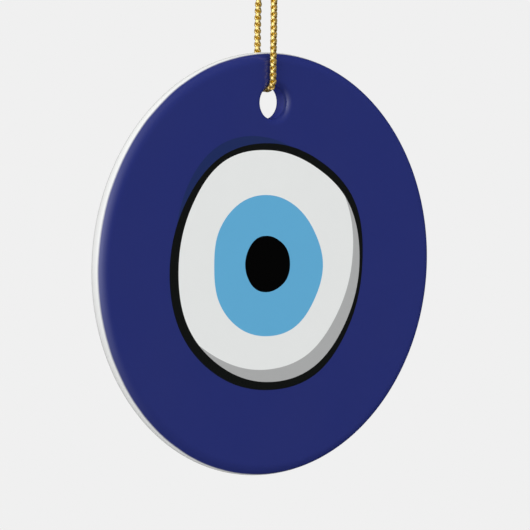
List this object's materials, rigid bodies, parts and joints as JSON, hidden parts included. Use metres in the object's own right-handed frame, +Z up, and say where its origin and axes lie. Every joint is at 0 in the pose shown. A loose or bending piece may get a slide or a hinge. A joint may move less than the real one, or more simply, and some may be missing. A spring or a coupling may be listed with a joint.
{
  "type": "evil eye ornament",
  "caption": "Round white porcelain disc printed with a blue, white and black eye, hung through its hole on a thin gold braided cord with a knotted loop.",
  "frame": {"origin": "where a hook holds the cord: between its two strands, just under their knot, straight above the disc's centre", "axes": "+Z up, -Y the way the printed face looks, +X to the right of someone who looks at the printed face"},
  "size_m": [0.073, 0.009, 0.1432],
  "materials": {
    "porcelain": "white gloss glaze",
    "blue_coat": "gloss printed coat",
    "dark_blue_coat": "gloss printed coat",
    "black_coat": "gloss printed coat",
    "white_coat": "gloss undyed coat",
    "grey_coat": "gloss printed coat",
    "light_blue_coat": "gloss printed coat",
    "pupil_coat": "gloss printed coat",
    "gold_cord": "braided metallic gold thread"
  },
  "bodies": {
    "hanger": {"cord_knot": "gold_cord", "cord_tail_front": "gold_cord", "cord_tail_back": "gold_cord", "cord_front_upper": "gold_cord", "cord_back_upper": "gold_cord"},
    "strands": {"cord_front_lower": "gold_cord", "cord_back_lower": "gold_cord", "cord_front_bend": "gold_cord", "cord_back_bend": "gold_cord"},
    "bight": {"cord_bight": "gold_cord"},
    "disc": {"porcelain_disc": "porcelain", "print_blue_field": "blue_coat", "print_bore_lining": "blue_coat", "print_dark_shade": "dark_blue_coat", "print_black_line": "black_coat", "print_white_ring": "white_coat", "print_grey_shade": "grey_coat", "print_iris": "light_blue_coat", "print_pupil": "pupil_coat"}
  },
  "joints": [
    {"name": "cord_twist", "type": "hinge", "parent": "hanger", "child": "strands", "pos_m": [0, 0, -0.03], "axis": [0, 0, 1], "range_deg": [-180, 180], "stiffness_Nm_per_rad": 0.00001},
    {"name": "disc_nod", "type": "hinge", "parent": "strands", "child": "bight", "pos_m": [0, 0, -0.06], "axis": [1, 0, 0], "range_deg": [-30, 30], "deforming": ["cord_front_bend", "cord_back_bend"]},
    {"name": "disc_swing", "type": "hinge", "parent": "bight", "child": "disc", "pos_m": [0, 0, -0.0706], "axis": [0, 1, 0], "range_deg": [-45, 45]}
  ]
}
